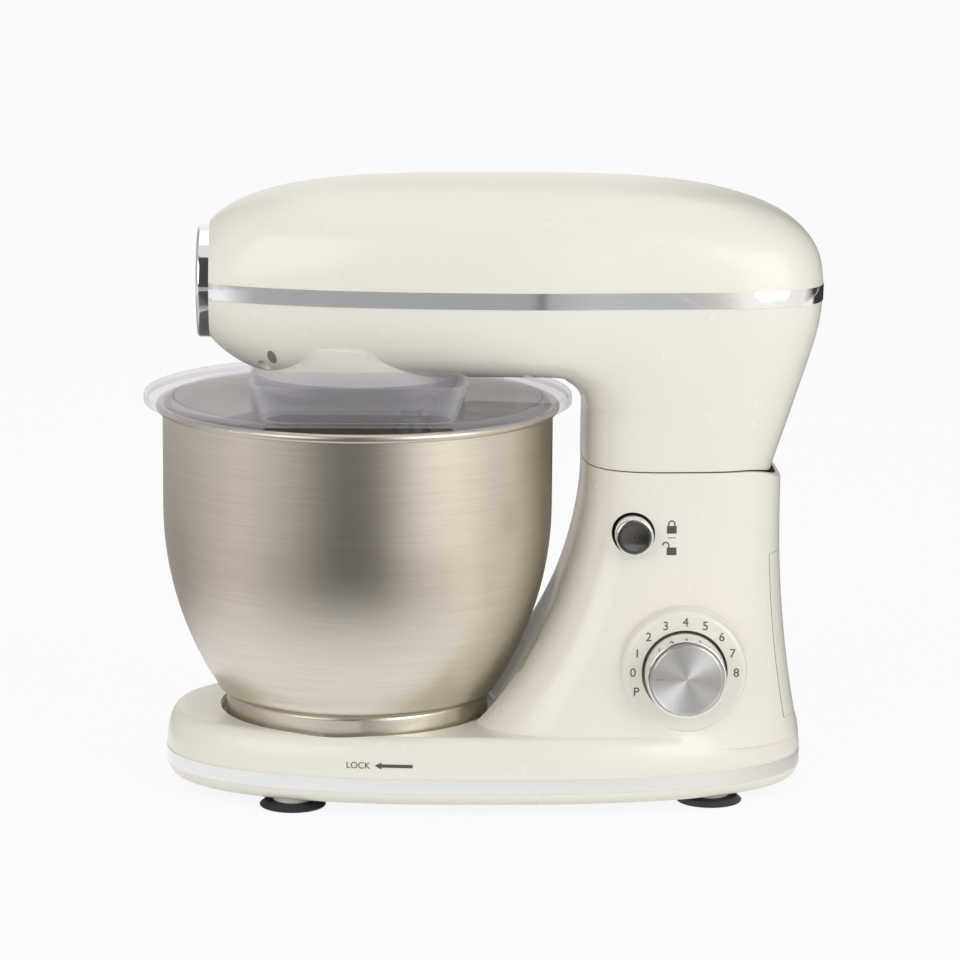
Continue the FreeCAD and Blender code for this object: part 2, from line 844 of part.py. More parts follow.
def chute_wire(z, half, front, inset):
    # Outline of the chute: slightly curved front, straight ends and back.
    half = half - inset
    front = -(front - inset)
    back = -(chute_back + inset)
    corner = chute_corner
    tuck = corner * 0.29
    return path(lambda x, y: V(bowl_axis_x + x, y, z), (-half + corner, front),
                [((0, front - chute_bulge), (half - corner, front)),
                 ((half - tuck, front + tuck), (half, front + corner)),
                 (half, back - corner),
                 ((half - tuck, back - tuck), (half - corner, back)),
                 (-half + corner, back),
                 ((-half + tuck, back - tuck), (-half, back - corner)),
                 (-half, front + corner),
                 ((-half + tuck, front + tuck), (-half + corner, front))])


def chute_solid(inset, low, high):
    plate_top = guard_z + guard_thickness
    wires = []
    for z in (low, high):
        share = (z - plate_top) / (chute_top_z - plate_top)
        wires.append(chute_wire(z, mix(chute_foot_half, chute_top_half, share),
                                mix(chute_foot_front, chute_top_front, share), inset))
    return loft(wires, True)


def make_guard():
    top = guard_z + guard_thickness
    hole = collar_r - collar_wall
    disc = turned(bowl_axis_x, (hole, guard_z),
                  [(hole, collar_top_z), (collar_r, collar_top_z), (collar_r, top), (guard_r - 1, top),
                   ((guard_r - 0.3, top - 0.3), (guard_r, top - 1)), (guard_r, guard_z - guard_lip),
                   (guard_r - 1.8, guard_z - guard_lip), (guard_r - 1.8, guard_z),
                   (guard_ring_r, guard_z), (guard_ring_r, guard_z - guard_ring_depth),
                   (guard_ring_r - 1.8, guard_z - guard_ring_depth), (guard_ring_r - 1.8, guard_z)])
    mouth = chute_solid(chute_wall, guard_z - 1, top + 1)
    slot = block(bowl_axis_x - chute_foot_half + chute_wall, bowl_axis_x + chute_foot_half - chute_wall,
                 -guard_r - 1, -chute_foot_front + 18, guard_z - guard_ring_depth - 1, guard_z)
    trim = block(bowl_axis_x - chute_foot_half - 1, bowl_axis_x + chute_foot_half + 1,
                 -guard_r - 1, -chute_foot_front - 0.6, guard_z - 10, top + 1)
    return disc.cut(mouth).cut(slot).cut(trim)


def make_chute():
    low = guard_z + guard_thickness
    return chute_solid(0, low, chute_top_z).cut(chute_solid(chute_wall, low - 1, chute_top_z + 1))


# Bowl

def bowl_side(radius_shift, z):
    reach = bowl_side_arc_r + radius_shift
    return math.sqrt(reach ** 2 - (bowl_bend_z - z) ** 2) - (bowl_side_arc_r - bowl_r)


def bowl_arc(radius_shift, z_end):
    # Middle and end of the lower wall arc, read from the top down.
    middle_z = (bowl_bend_z + z_end) / 2
    return ((bowl_side(radius_shift, middle_z), middle_z), (bowl_side(radius_shift, z_end), z_end))


def make_bowl():
    low = bowl_bottom_z
    inside = bowl_r - bowl_wall
    bead = rim_bead_r
    bead_z = bowl_rim_z - bead
    turn_z = low + 5
    body = turned(bowl_axis_x, (bowl_r, bead_z),
                  [(bowl_r, bowl_bend_z), bowl_arc(0, turn_z),
                   ((bowl_side(0, turn_z) - 2.4, low + 1.3), (bowl_side(0, turn_z) - 7, low)), (0, low),
                   (0, low + bowl_wall), (bowl_side(0, turn_z) - 8, low + bowl_wall),
                   ((bowl_side(0, turn_z) - 3.4, low + 2.5), (bowl_side(-bowl_wall, turn_z), turn_z)),
                   (bowl_arc(-bowl_wall, turn_z)[0], (inside, bowl_bend_z)), (inside, bead_z)])
    rim = Part.makeTorus(bowl_r + bead - bowl_wall, bead, V(bowl_axis_x, 0, bead_z), up)
    return joined([body, rim])


def make_foot_ring():
    top = bowl_bottom_z
    inner = foot_ring_r - foot_ring_wall
    ring = turned(bowl_axis_x, (inner, foot_ring_z),
                  [(foot_ring_r, foot_ring_z), (foot_ring_r, top - 3),
                   ((foot_ring_r - 0.5, top - 0.8), (foot_ring_r - 1.4, top)),
                   (inner - 4, top), (inner - 4, top - foot_ring_wall), (inner, top - foot_ring_wall - 2)])
    lugs = []
    for k in range(lug_count):
        lug = turned_sector(foot_ring_r - 0.4, foot_ring_r + lug_reach, foot_ring_z, foot_ring_z + lug_height,
                            360 * k / lug_count - lug_arc / 2, lug_arc)
        lugs.append(lug)
    return joined([ring] + lugs)


def turned_sector(inner, outer, z0, z1, start, sweep):
    corners = [(outer, z0), (outer, z1), (inner, z1)]
    face = Part.Face(path(lambda r, z: V(bowl_axis_x + r, 0, z), (inner, z0), corners))
    body = face.revolve(V(bowl_axis_x, 0, 0), up, sweep)
    body.rotate(V(bowl_axis_x, 0, 0), up, start)
    return body


# Base and column

def base_section(z, inset):
    half_length = base_half_length - inset
    half_width = base_half_width - inset
    return section(V(base_middle_x, 0, z), V(1, 0, 0), half_length, half_length, half_width,
                   base_power, base_power)


def base_side(x):
    return base_half_width * round_off(x - base_middle_x, base_half_length, base_power)


def base_inset(z, top):
    if z < base_side_low_z:
        return base_lip * (1 - round_off(base_side_low_z - z, base_side_low_z - base_bottom_z, 2))
    if z > base_side_high_z:
        return base_shoulder * (1 - round_off(z - base_side_high_z, top - base_side_high_z, 2.4))
    return 0


def base_solid(inset, low, top):
    bands = [[low, mix(low, base_side_low_z, 0.12), mix(low, base_side_low_z, 0.4), base_side_low_z],
             [base_side_low_z, base_side_high_z],
             [base_side_high_z] + [mix(base_side_high_z, top, s) for s in (0.35, 0.65, 0.86, 0.96, 1)]]
    return joined([loft([base_section(z, inset + base_inset(z, top)) for z in band]) for band in bands])


def column_front(z):
    reach = math.sqrt(column_front_arc_r ** 2 - (column_front_arc_z - z) ** 2)
    return neck_front_x - column_front_arc_r + reach


def column_back(z):
    if z > column_back_arc_z:
        return column_back_x
    reach = math.sqrt(column_back_arc_r ** 2 - (column_back_arc_z - z) ** 2)
    return column_back_x + column_back_arc_r - reach


def column_half(z):
    return column_half_width + column_side_arc_r - math.sqrt(column_side_arc_r ** 2 - (split_z - z) ** 2)


def column_solid(inset):
    wires = []
    for z in (column_foot_z, 40, 50, 62, 78, 98, 122, 150, split_z, 200):
        front = column_front(z) + inset
        back = column_back(z) - inset
        half_length = (back - front) / 2
        taper = column_taper_top + column_taper_rate * max(split_z - z, 0)
        wires.append(section(V((front + back) / 2, 0, z), V(1, 0, 0), half_length, half_length,
                             column_half(z) - inset, column_power, column_power, taper))
    return loft(wires)


def bowl_clearance(gap):
    low = 30
    return turned(bowl_axis_x, (0, 240),
                  [(bowl_r + gap, 240), (bowl_r + gap, bowl_bend_z), bowl_arc(gap, low), (0, low)])


def above_split():
    plane = block(-300, hinge_x, -200, 200, split_z - split_gap / 2, 260)
    behind = block(hinge_x - 0.01, 300, -200, 200, hinge_z, 260)
    drum = rod_y(split_arc_r - split_gap / 2, -200, 200, hinge_x, hinge_z)
    return plane.fuse(behind.cut(drum))


def rear_zone(gap):
    stations = [mix(rear_cover_low_z, rear_cover_high_z, k / 6) for k in range(7)]
    points = [V(column_back(z) - rear_cover_depth + gap, -150, z) for z in stations]
    points[0].z = points[0].z + gap
    points[-1].z = points[-1].z - gap
    line = Part.BSplineCurve()
    line.interpolate(points)
    far_high = V(260, -150, points[-1].z)
    far_low = V(260, -150, points[0].z)
    edges = [line.toShape(), Part.makeLine(points[-1], far_high), Part.makeLine(far_high, far_low),
             Part.makeLine(far_low, points[0])]
    return Part.Face(Part.Wire(edges)).extrude(V(0, 300, 0))


front_screw_spots = [(-140, 0), (-60, -66), (-60, 66)]
rear_screw_spots = [(95, -60), (95, 60)]
base_screw_spots = front_screw_spots + rear_screw_spots
base_boss_r = 5.0
rear_boss_top_z = 26.0
rib_half = 1.5
rib_low_z = base_side_low_z + 0.5
rib_high_z = base_side_high_z - 0.5
base_plate_high_z = base_bottom_z + plate_thickness

column_outer = column_solid(0).cut(bowl_clearance(scoop_gap))
casing_form = joined([base_solid(0, base_bottom_z, base_top_z), column_outer]).cut(above_split())
recess = rod(recess_r, recess_floor_z, base_top_z + 60, bowl_axis_x)
recess_block = rod(recess_r + wall, recess_floor_z - wall, base_top_z + 1, bowl_axis_x)
column_room = column_solid(wall).cut(bowl_clearance(scoop_gap + wall))
casing_room = base_solid(wall, base_plate_high_z, base_top_z - wall).fuse(column_room).cut(recess_block)
plate_hole = loft([base_section(z, plate_margin) for z in (0, base_plate_high_z + 0.5)])
trim_zone = loft([base_section(z, -20) for z in (base_side_low_z, base_side_high_z)])
trim_core = loft([base_section(z, base_trim_depth) for z in (base_side_low_z - 1, base_side_high_z + 1)])
trim_groove = trim_zone.cut(trim_core)


def make_casing():
    shell = casing_form.cut(recess).cut(casing_room).cut(plate_hole).cut(trim_groove)
    bosses = [rod(base_boss_r, base_plate_high_z, recess_floor_z - wall / 2, x, y)
              for x, y in front_screw_spots]
    for x, y in rear_screw_spots:
        bosses.append(rod(base_boss_r, base_plate_high_z, rear_boss_top_z, x, y))
        far = math.copysign(base_side(x) - wall / 2, y)
        bosses.append(block(x - rib_half, x + rib_half, min(y, far), max(y, far), rib_low_z, rib_high_z))
    shell = joined([shell] + bosses)
    for x, y in base_screw_spots:
        shell = shell.cut(rod(small_screw_r, base_plate_high_z - 1, base_plate_high_z + 12, x, y))
    return shell


def make_base_plate():
    low = base_bottom_z
    plate = loft([base_section(z, plate_margin + seat_gap) for z in (low, base_plate_high_z)])
    for x, y in base_screw_spots:
        plate = plate.cut(rod(small_screw_r, low - 1, base_plate_high_z + 1, x, y))
    for x, y in foot_spots:
        plate = plate.cut(rod(foot_peg_r, low - 1, base_plate_high_z + 1, x, y))
    return plate


def make_base_trim():
    low = base_side_low_z
    high = base_side_high_z
    outer = loft([base_section(z, -base_trim_proud) for z in (low, high)])
    return outer.cut(trim_core)


def make_feet():
    one = turned(0, (0, 0.9), [(6, 0.9), (13, 0), (foot_r - 0.6, 0), ((foot_r - 0.1, 0.4), (foot_r, 1.0)),
                              (foot_r - 3, foot_height), (0, foot_height)])
    return Part.makeCompound([placed(one, x, y, 0) for x, y in foot_spots])


def make_foot_stems():
    low = foot_height
    one = joined([rod(foot_stem_r, low, base_bottom_z, 0), rod(foot_peg_r, low, base_plate_high_z + 2, 0)])
    return Part.makeCompound([placed(one, x, y, 0) for x, y in foot_spots])


def make_base_screws():
    one = screw(small_head_r, 2.2, small_screw_r, 14)
    return Part.makeCompound([placed(one, x, y, base_bottom_z) for x, y in base_screw_spots])


def make_bowl_seat():
    low = recess_floor_z
    seat = tube(recess_r, recess_r - 14, low, low + 1.2, bowl_axis_x)
    tab_low_z = foot_ring_z + lug_height + 0.6
    tab_high_z = foot_ring_z + lug_height + 2.4
    wall_ring = tube(recess_r, foot_ring_r + lug_reach + 0.6, low, tab_high_z, bowl_axis_x)
    tabs = []
    for k in range(lug_count):
        start = 360 * k / lug_count - lug_arc / 2 - 3
        tabs.append(turned_sector(foot_ring_r + 0.6, recess_r - 0.2, tab_low_z, tab_high_z, start, lug_arc + 6))
    return joined([seat, wall_ring] + tabs)


# Hinge, latch, dial and electrics in the column

def make_hinge_yoke():
    ears = []
    foot_top = hinge_z - 26
    for y in (-yoke_y - yoke_thickness, yoke_y):
        ear = side_plate(y, y + yoke_thickness, (hinge_x - 30, foot_top - 1),
                         [(hinge_x + hinge_eye_r, foot_top - 1), (hinge_x + hinge_eye_r, hinge_z),
                          ((hinge_x, hinge_z + hinge_eye_r), (hinge_x - hinge_eye_r, hinge_z))])
        ears.append(ear)
    deck = block(60, 190, -90, 90, foot_top - 4, foot_top).common(column_solid(wall + seat_gap))
    whole = joined([deck] + ears)
    return whole.cut(rod_y(hinge_pin_r, -100, 100, hinge_x, hinge_z))


def make_hinge_pin():
    half = hinge_arm_y + hinge_arm_thickness + 0.4
    return rod_y(hinge_pin_r, -half, half, hinge_x, hinge_z)


def make_bezel():
    outer_y = bezel_face_y
    disc = turned_y(dial_x, dial_z, (knob_r + knob_gap, outer_y),
                    [(bezel_face_r, outer_y),
                     ((bezel_face_r + 2.2, outer_y + 0.9), (bezel_r - 0.6, outer_y + 3.4)),
                     (bezel_r, outer_y + 6), (bezel_r, -40), (knob_r + knob_gap, -40)])
    return disc.cut(column_outer)


def make_knob():
    back = bezel_face_y + 1.6
    body = turned_y(dial_x, dial_z, (knob_shaft_r, back),
                    [(knob_r, back), (knob_tip_r, knob_face_y + 1.2),
                     ((knob_tip_r - 0.35, knob_face_y + 0.35), (knob_tip_r - 1.2, knob_face_y)),
                     (knob_tip_r - 2.4, knob_face_y), (knob_tip_r - 2.4, knob_face_y + 1.0),
                     (knob_shaft_r, knob_face_y + 1.0)])
    return body


def make_knob_face():
    disc = rod_y(knob_tip_r - 2.4, knob_face_y + 0.2, knob_face_y + 1.0, dial_x, dial_z)
    pointer = block(dial_x - knob_tip_r + 4, dial_x - knob_tip_r + 12, knob_face_y - 1, knob_face_y + 0.5,
                    dial_z - 0.6, dial_z + 0.6)
    return disc.cut(pointer)


switch_front_y = -58.0
switch_depth = 12.0


def make_knob_shaft():
    return rod_y(knob_shaft_r, knob_face_y + 1.0, switch_front_y + 6, dial_x, dial_z)


def make_switch():
    back = switch_front_y + switch_depth
    body = block(dial_x - 14, dial_x + 14, switch_front_y, back, dial_z - 14, dial_z + 14)
    nut = rod_y(9, -64, switch_front_y, dial_x, dial_z).cut(column_outer.cut(column_room))
    whole = joined([body, nut])
    return whole.cut(rod_y(knob_shaft_r + running_gap, -120, switch_front_y + 6.4, dial_x, dial_z))


def make_board():
    y0 = switch_front_y + switch_depth
    board = block(dial_x - 34, dial_x + 30, y0, y0 + 1.6, dial_z - 22, dial_z + 36)
    parts = [rod_y(6, y0 + 1.6, y0 + 18, dial_x - 20, dial_z + 22),
             rod_y(6, y0 + 1.6, y0 + 18, dial_x - 4, dial_z + 22),
             block(dial_x + 8, dial_x + 26, y0 + 1.6, y0 + 14, dial_z + 8, dial_z + 30),
             block(dial_x - 28, dial_x - 8, y0 + 1.6, y0 + 8, dial_z - 14, dial_z + 4)]
    return joined([board] + parts)


def make_button():
    back = button_inner_y
    edge = button_edge
    bevel = edge * (1 - math.sqrt(0.5))
    middle_r, drop = crown(button_r - edge, button_hollow)
    return turned_y(button_x, button_z, (0, back),
                    [(button_r, back), (button_r, button_face_y + edge),
                     ((button_r - bevel, button_face_y + bevel), (button_r - edge, button_face_y)),
                     ((middle_r, button_face_y + button_hollow - drop), (0, button_face_y + button_hollow))])


def make_button_sleeve():
    inner = button_r + seat_gap
    outer = button_hole_r + 2.4
    sleeve = rod_y(outer, -70, sleeve_end_y, button_x, button_z)
    sleeve = sleeve.cut(rod_y(inner, -80, sleeve_end_y - 2, button_x, button_z))
    sleeve = sleeve.cut(rod_y(latch_rod_r + seat_gap, -80, 0, button_x, button_z))
    outside = block(0, 200, -200, -20, 0, 300).cut(column_solid(wall))
    return sleeve.cut(outside)


def make_latch_spring():
    # Six-sided wire wound from short straight runs.
    low = button_inner_y + 0.3 + spring_wire_r
    rise = sleeve_end_y - 2.3 - spring_wire_r - low
    runs = spring_turns * 12
    rings = []
    for k in range(runs + 1):
        turn = 2 * math.pi * spring_turns * k / runs
        out = V(math.cos(turn), 0, math.sin(turn))
        spot = V(button_x, low + rise * k / runs, button_z) + out * spring_coil_r
        corners = []
        for n in range(7):
            lean = math.pi * n / 3
            along = V(0, spring_wire_r * math.sin(lean), 0)
            corners.append(spot + out * (spring_wire_r * math.cos(lean)) + along)
        rings.append(Part.makePolygon(corners))
    return Part.makeLoft(rings, True, True)


latch_hook_y = -32.0
latch_top_z = split_z + 6.5


def make_latch_bolt():
    stem = rod_y(latch_rod_r, button_inner_y, latch_hook_y, button_x, button_z)
    bar = block(button_x - 5, button_x + 5, latch_hook_y, latch_hook_y + 3, button_z - 6, latch_top_z)
    return joined([stem, bar])


def make_latch_catch():
    y1 = latch_hook_y - 0.8
    return block(button_x - 8, button_x + 8, -62, y1, split_z + 4, split_z + 8).common(head_inner)


def make_rear_parts(casing):
    shell = casing.cut(rear_zone(0))
    cover = casing.common(rear_zone(seat_gap))
    return shell, cover


def make_gland():
    end = base_half_length * round_off(gland_y, base_half_width, base_power)
    back = base_middle_x + end - base_shoulder * 0.25
    outer = rod_x(gland_r, back - 16, back + 8, gland_y, gland_z)
    return outer.cut(rod_x(gland_bore_r, back - 30, back + 30, gland_y, gland_z))


casing = make_casing()
casing = casing.cut(rod_y(button_hole_r, -120, -30, button_x, button_z))
casing = casing.cut(rod_y(9 + seat_gap, -120, -50, dial_x, dial_z))
casing = casing.cut(rod_x(gland_r, 140, 220, gland_y, gland_z))
base_shell, rear_cover = make_rear_parts(casing)

nodes = {
    "base_shell": base_shell,
    "rear_cover": rear_cover,
    "base_plate": make_base_plate(),
    "base_trim": make_base_trim(),
    "suction_feet": make_feet(),
    "foot_stems": make_foot_stems(),
    "base_screws": make_base_screws(),
    "bowl_seat": make_bowl_seat(),
    "hinge_yoke": make_hinge_yoke(),
    "hinge_pin": make_hinge_pin(),
    "dial_bezel": make_bezel(),
    "speed_switch": make_switch(),
    "control_board": make_board(),
    "button_sleeve": make_button_sleeve(),
    "latch_spring": make_latch_spring(),
    "cord_gland": make_gland(),
    "head_lower_housing": make_lower_housing(),
    "head_upper_cover": make_upper_cover(),
    "head_trim": make_head_trim(),
    "nose_cap": make_nose_cap(),
    "head_screws": make_head_screws(),
    "chassis_plate": make_chassis(),
    "chassis_screws": make_chassis_screws(),
    "hinge_arms": make_hinge_arms(),
    "latch_catch": make_latch_catch(),
    "motor_can": make_motor_can(),
    "motor_end_cap": make_motor_end_cap(),
    "motor_bearings": make_motor_bearings(),
    "stator_core": make_stator(),
    "field_windings": make_field_windings(),
    "drive_belt": make_belt(),
    "ring_gear": make_ring_gear(),
    "gear_deck": make_gear_deck(),
    "shaft_bushes": make_shaft_bushes(),
    "splash_guard": make_guard(),
    "feed_chute": make_chute(),
    "planetary_housing": make_planetary_housing(),
    "carrier_shaft": make_carrier_shaft(),
    "main_gear": make_main_gear(),
    "tool_bush": make_tool_bush(),
    "tool_shaft": make_tool_shaft(),
    "planet_pinion": make_planet_pinion(),
    "shaft_pin": make_shaft_pin(),
    "flat_beater": make_beater(),
    "layshaft": make_layshaft(),
    "layshaft_pinion": make_layshaft_pinion(),
    "driven_pulley": make_driven_pulley(),
    "motor_shaft": make_motor_shaft(),
    "rotor_core": make_rotor(),
    "rotor_windings": make_rotor_windings(),
    "motor_pulley": make_motor_pulley(),
    "cooling_fan": make_fan(),
    "bowl_body": make_bowl(),
    "bowl_foot_ring": make_foot_ring(),
    "speed_knob": make_knob(),
    "knob_face": make_knob_face(),
    "knob_shaft": make_knob_shaft(),
    "release_button": make_button(),
    "latch_bolt": make_latch_bolt(),
}

os.makedirs("parts", exist_ok=True)
for name, shape in nodes.items():
    box = shape.BoundBox
    print(name, len(shape.Solids), shape.isValid(), round(shape.Volume),
          [round(v, 1) for v in (box.XMin, box.XMax, box.YMin, box.YMax, box.ZMin, box.ZMax)])
    shape.exportStep("parts/" + name + ".step")
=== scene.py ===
import bpy
import json
import math
from mathutils import Matrix, Vector
from mathutils.bvhtree import BVHTree


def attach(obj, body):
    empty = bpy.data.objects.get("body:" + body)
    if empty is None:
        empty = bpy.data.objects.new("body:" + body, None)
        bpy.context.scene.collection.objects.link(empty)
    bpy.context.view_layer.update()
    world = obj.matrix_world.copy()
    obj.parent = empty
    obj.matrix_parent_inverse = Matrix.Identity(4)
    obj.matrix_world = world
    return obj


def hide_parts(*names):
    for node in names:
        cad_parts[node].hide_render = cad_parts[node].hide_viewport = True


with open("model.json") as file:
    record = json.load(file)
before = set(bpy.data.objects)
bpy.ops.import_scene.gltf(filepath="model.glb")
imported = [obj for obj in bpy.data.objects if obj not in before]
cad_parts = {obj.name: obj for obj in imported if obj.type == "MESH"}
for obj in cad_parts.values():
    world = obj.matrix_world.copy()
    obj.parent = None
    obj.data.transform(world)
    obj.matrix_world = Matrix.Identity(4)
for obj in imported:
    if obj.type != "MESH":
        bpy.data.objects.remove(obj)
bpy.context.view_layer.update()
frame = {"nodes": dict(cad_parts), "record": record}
nodes = frame["nodes"]
scene = bpy.context.scene
scene.view_settings.view_transform = "Standard"
print("frame loaded:", len(nodes), "nodes")


class Wire:
    # one output socket that can be used in sums
    def __init__(self, graph, socket):
        self.graph = graph
        self.socket = socket

    def sum(self, operation, first, second):
        return self.graph.node("ShaderNodeMath", {"operation": operation}, {0: first, 1: second})

    def __add__(self, other):
        return self.sum("ADD", self, other)

    def __radd__(self, other):
        return self.sum("ADD", other, self)

    def __sub__(self, other):
        return self.sum("SUBTRACT", self, other)

    def __rsub__(self, other):
        return self.sum("SUBTRACT", other, self)

    def __mul__(self, other):
        return self.sum("MULTIPLY", self, other)

    def __rmul__(self, other):
        return self.sum("MULTIPLY", other, self)

    def __truediv__(self, other):
        return self.sum("DIVIDE", self, other)

    def __rtruediv__(self, other):
        return self.sum("DIVIDE", other, self)

    def __pow__(self, other):
        return self.sum("POWER", self, other)

    def __rpow__(self, other):
        return self.sum("POWER", other, self)


class Graph:
    # the nodes of one material or of the world
    def __init__(self, tree):
        self.tree = tree

    def node(self, kind, settings=None, inputs=None, out=0):
        made = self.tree.nodes.new(kind)
        for key, value in (settings or {}).items():
            if key == "stops":
                self.setStops(made.color_ramp.elements, value)
            else:
                setattr(made, key, value)
        for key, value in (inputs or {}).items():
            self.feed(made.inputs[key], value)
        return Wire(self, made.outputs[out])

    def setStops(self, ramp, stops):
        while len(ramp) < len(stops):
            ramp.new(0.5)
        for stop, (place, colour) in zip(ramp, stops):
            stop.position = place
            stop.color = colour

    def feed(self, socket, value):
        if isinstance(value, Wire):
            self.tree.links.new(value.socket, socket)
        else:
            socket.default_value = value

    def seenRays(self):
        # 1 for what the camera sees, by itself or in metal and clear plastic
        camera, glossy, through = [self.node("ShaderNodeLightPath", out=key) for key in
                                   ("Is Camera Ray", "Is Glossy Ray", "Is Transmission Ray")]
        return self.node("ShaderNodeMath", {"operation": "ADD", "use_clamp": True},
                         {0: camera + glossy, 1: through})


class Finish(Graph):
    # one material, with the textures that feed its shader
    def __init__(self, name):
        self.material = bpy.data.materials.new(name)
        self.material.use_nodes = True
        super().__init__(self.material.node_tree)
        self.shader = self.tree.nodes["Principled BSDF"]

    def shade(self, values):
        for key, value in values.items():
            self.feed(self.shader.inputs[key], value)
        return self

    def place(self, centre=(0, 0, 0), stretch=(1, 1, 1)):
        spot = self.node("ShaderNodeTexCoord", out="Object")
        shifted = self.node("ShaderNodeVectorMath", {"operation": "SUBTRACT"}, {0: spot, 1: centre})
        return self.node("ShaderNodeVectorMath", {"operation": "MULTIPLY"}, {0: shifted, 1: stretch})

    def noise(self, where, scale, detail=3.0):
        return self.node("ShaderNodeTexNoise", {}, {"Vector": where, "Scale": scale, "Detail": detail}, "Fac")

    def blend(self, share, low, high):
        return self.node("ShaderNodeMix", {"data_type": "RGBA"}, {"Factor": share, 6: low, 7: high}, 2)

    def limits(self, value, low, high):
        return self.node("ShaderNodeMapRange", {"interpolation_type": "SMOOTHSTEP"},
                         {"Value": value, 1: low, 2: high, 3: 0.0, 4: 1.0})

    def bump(self, height, strength, distance):
        return self.node("ShaderNodeBump", {}, {"Height": height, "Strength": strength, "Distance": distance},
                         "Normal")

    def mixInto(self, share, other):
        # blends the shader with another one on its way out
        own = Wire(self, self.shader.outputs[0])
        mixed = self.node("ShaderNodeMixShader", {}, {0: share, 1: own, 2: other})
        self.feed(self.tree.nodes["Material Output"].inputs["Surface"], mixed)

    def axisDistance(self, where, axes):
        # distance from an axis, from two of the three coordinates
        first, second = [self.node("ShaderNodeSeparateXYZ", {}, {0: where}, axis) for axis in axes]
        return (first * first + second * second) ** 0.5


def toned(colour, share=1.0):
    return tuple(c * share for c in colour[:3]) + (1,)


cream = {"light": (0.866, 0.833, 0.738), "warm": (0.860, 0.826, 0.729), "drift": 9.0, "rough": 0.24,
         "roughDrift": 0.05, "roughScale": 60.0, "grain": 28.0, "peel": 0.02, "peelHeight": 0.0002,
         "coat": 0.25, "coatRough": 0.06}


def creamFinish(name, shade=1.0, rough=cream["rough"]):
    f = Finish(name)
    where = f.place()
    drift = f.limits(f.noise(where, cream["drift"], 2.0), 0.35, 0.65)
    grain = f.noise(where, cream["grain"], 1.0)
    return f.shade({"Base Color": f.blend(drift, toned(cream["warm"], shade), toned(cream["light"], shade)),
                    "Roughness": rough + cream["roughDrift"] * f.noise(where, cream["roughScale"]),
                    "Normal": f.bump(grain, cream["peel"], cream["peelHeight"]),
                    "IOR": 1.5, "Coat Weight": cream["coat"], "Coat Roughness": cream["coatRough"]})


plating = {"stretch": (1, 1, 5), "scale": 220.0, "dim": 0.9, "wear": 0.05}


def plateFinish(name, colour, rough):
    # bright plated metal with faint polishing marks
    f = Finish(name)
    marks = f.noise(f.place(stretch=plating["stretch"]), plating["scale"], 4.0)
    return f.shade({"Base Color": f.blend(marks, toned(colour, plating["dim"]), toned(colour)),
                    "Metallic": 1.0, "Roughness": rough + plating["wear"] * marks})


moulding = {"scale": 500.0, "patch": 0.06, "dim": 0.82, "roughDrift": 0.12, "depth": 0.15, "height": 0.0003}


def moulded(name, colour, rough, scale=moulding["scale"], depth=moulding["depth"]):
    f = Finish(name)
    where = f.place()
    grain = f.noise(where, scale, 4.0)
    patch = f.noise(where, scale * moulding["patch"], 2.0)
    return f.shade({"Base Color": f.blend(patch, toned(colour, moulding["dim"]), toned(colour)),
                    "Roughness": rough + moulding["roughDrift"] * grain,
                    "Normal": f.bump(grain, depth, moulding["height"])})


machining = {"stretch": (1, 1, 6), "scale": 300.0, "dim": 0.75, "roughDrift": 0.18, "depth": 0.1,
             "height": 0.0002}


def machined(name, colour, rough, scale=machining["scale"]):
    f = Finish(name)
    lines = f.noise(f.place(stretch=machining["stretch"]), scale, 5.0)
    return f.shade({"Base Color": f.blend(lines, toned(colour, machining["dim"]), toned(colour)),
                    "Metallic": 1.0, "Roughness": rough + machining["roughDrift"] * lines,
                    "Normal": f.bump(lines, machining["depth"], machining["height"])})


bowlSteel = {"axis": (-0.070, 0, 0), "dark": (0.63, 0.585, 0.505, 1), "light": (0.74, 0.695, 0.61, 1),
             "fine": (22, 22, 5200), "broad": (9, 9, 900), "fineShare": 0.75, "rough": 0.27,
             "roughDrift": 0.10, "spread": 0.35, "depth": 0.04, "height": 0.0001}


def bowlFinish():
    # brushed round the bowl, so the lines are long across and very short up and down
    f = Finish("brushedBowl")
    fine = f.noise(f.place(bowlSteel["axis"], bowlSteel["fine"]), 1.0, 4.0)
    broad = f.noise(f.place(bowlSteel["axis"], bowlSteel["broad"]), 1.0, 3.0)
    lines = bowlSteel["fineShare"] * fine + (1 - bowlSteel["fineShare"]) * broad
    return f.shade({"Base Color": f.blend(f.limits(lines, 0.3, 0.7), bowlSteel["dark"], bowlSteel["light"]),
                    "Metallic": 1.0, "Roughness": bowlSteel["rough"] + bowlSteel["roughDrift"] * fine,
                    "Anisotropic": bowlSteel["spread"], "Anisotropic Rotation": 0.25,
                    "Normal": f.bump(lines, bowlSteel["depth"], bowlSteel["height"])})


clearGuard = {"clear": (0.90, 0.90, 0.895, 1), "edge": (0.56, 0.53, 0.68, 1), "facing": 0.93, "slant": 0.36,
              "rim": 0.42, "rimFrom": 0.86, "rimTo": 0.99, "tint": (0.925, 0.915, 0.95, 1), "rough": 0.04,
              "haze": 0.03, "hazeScale": 40.0, "coat": 0.6, "coatRough": 0.02, "shadowPass": 0.9}


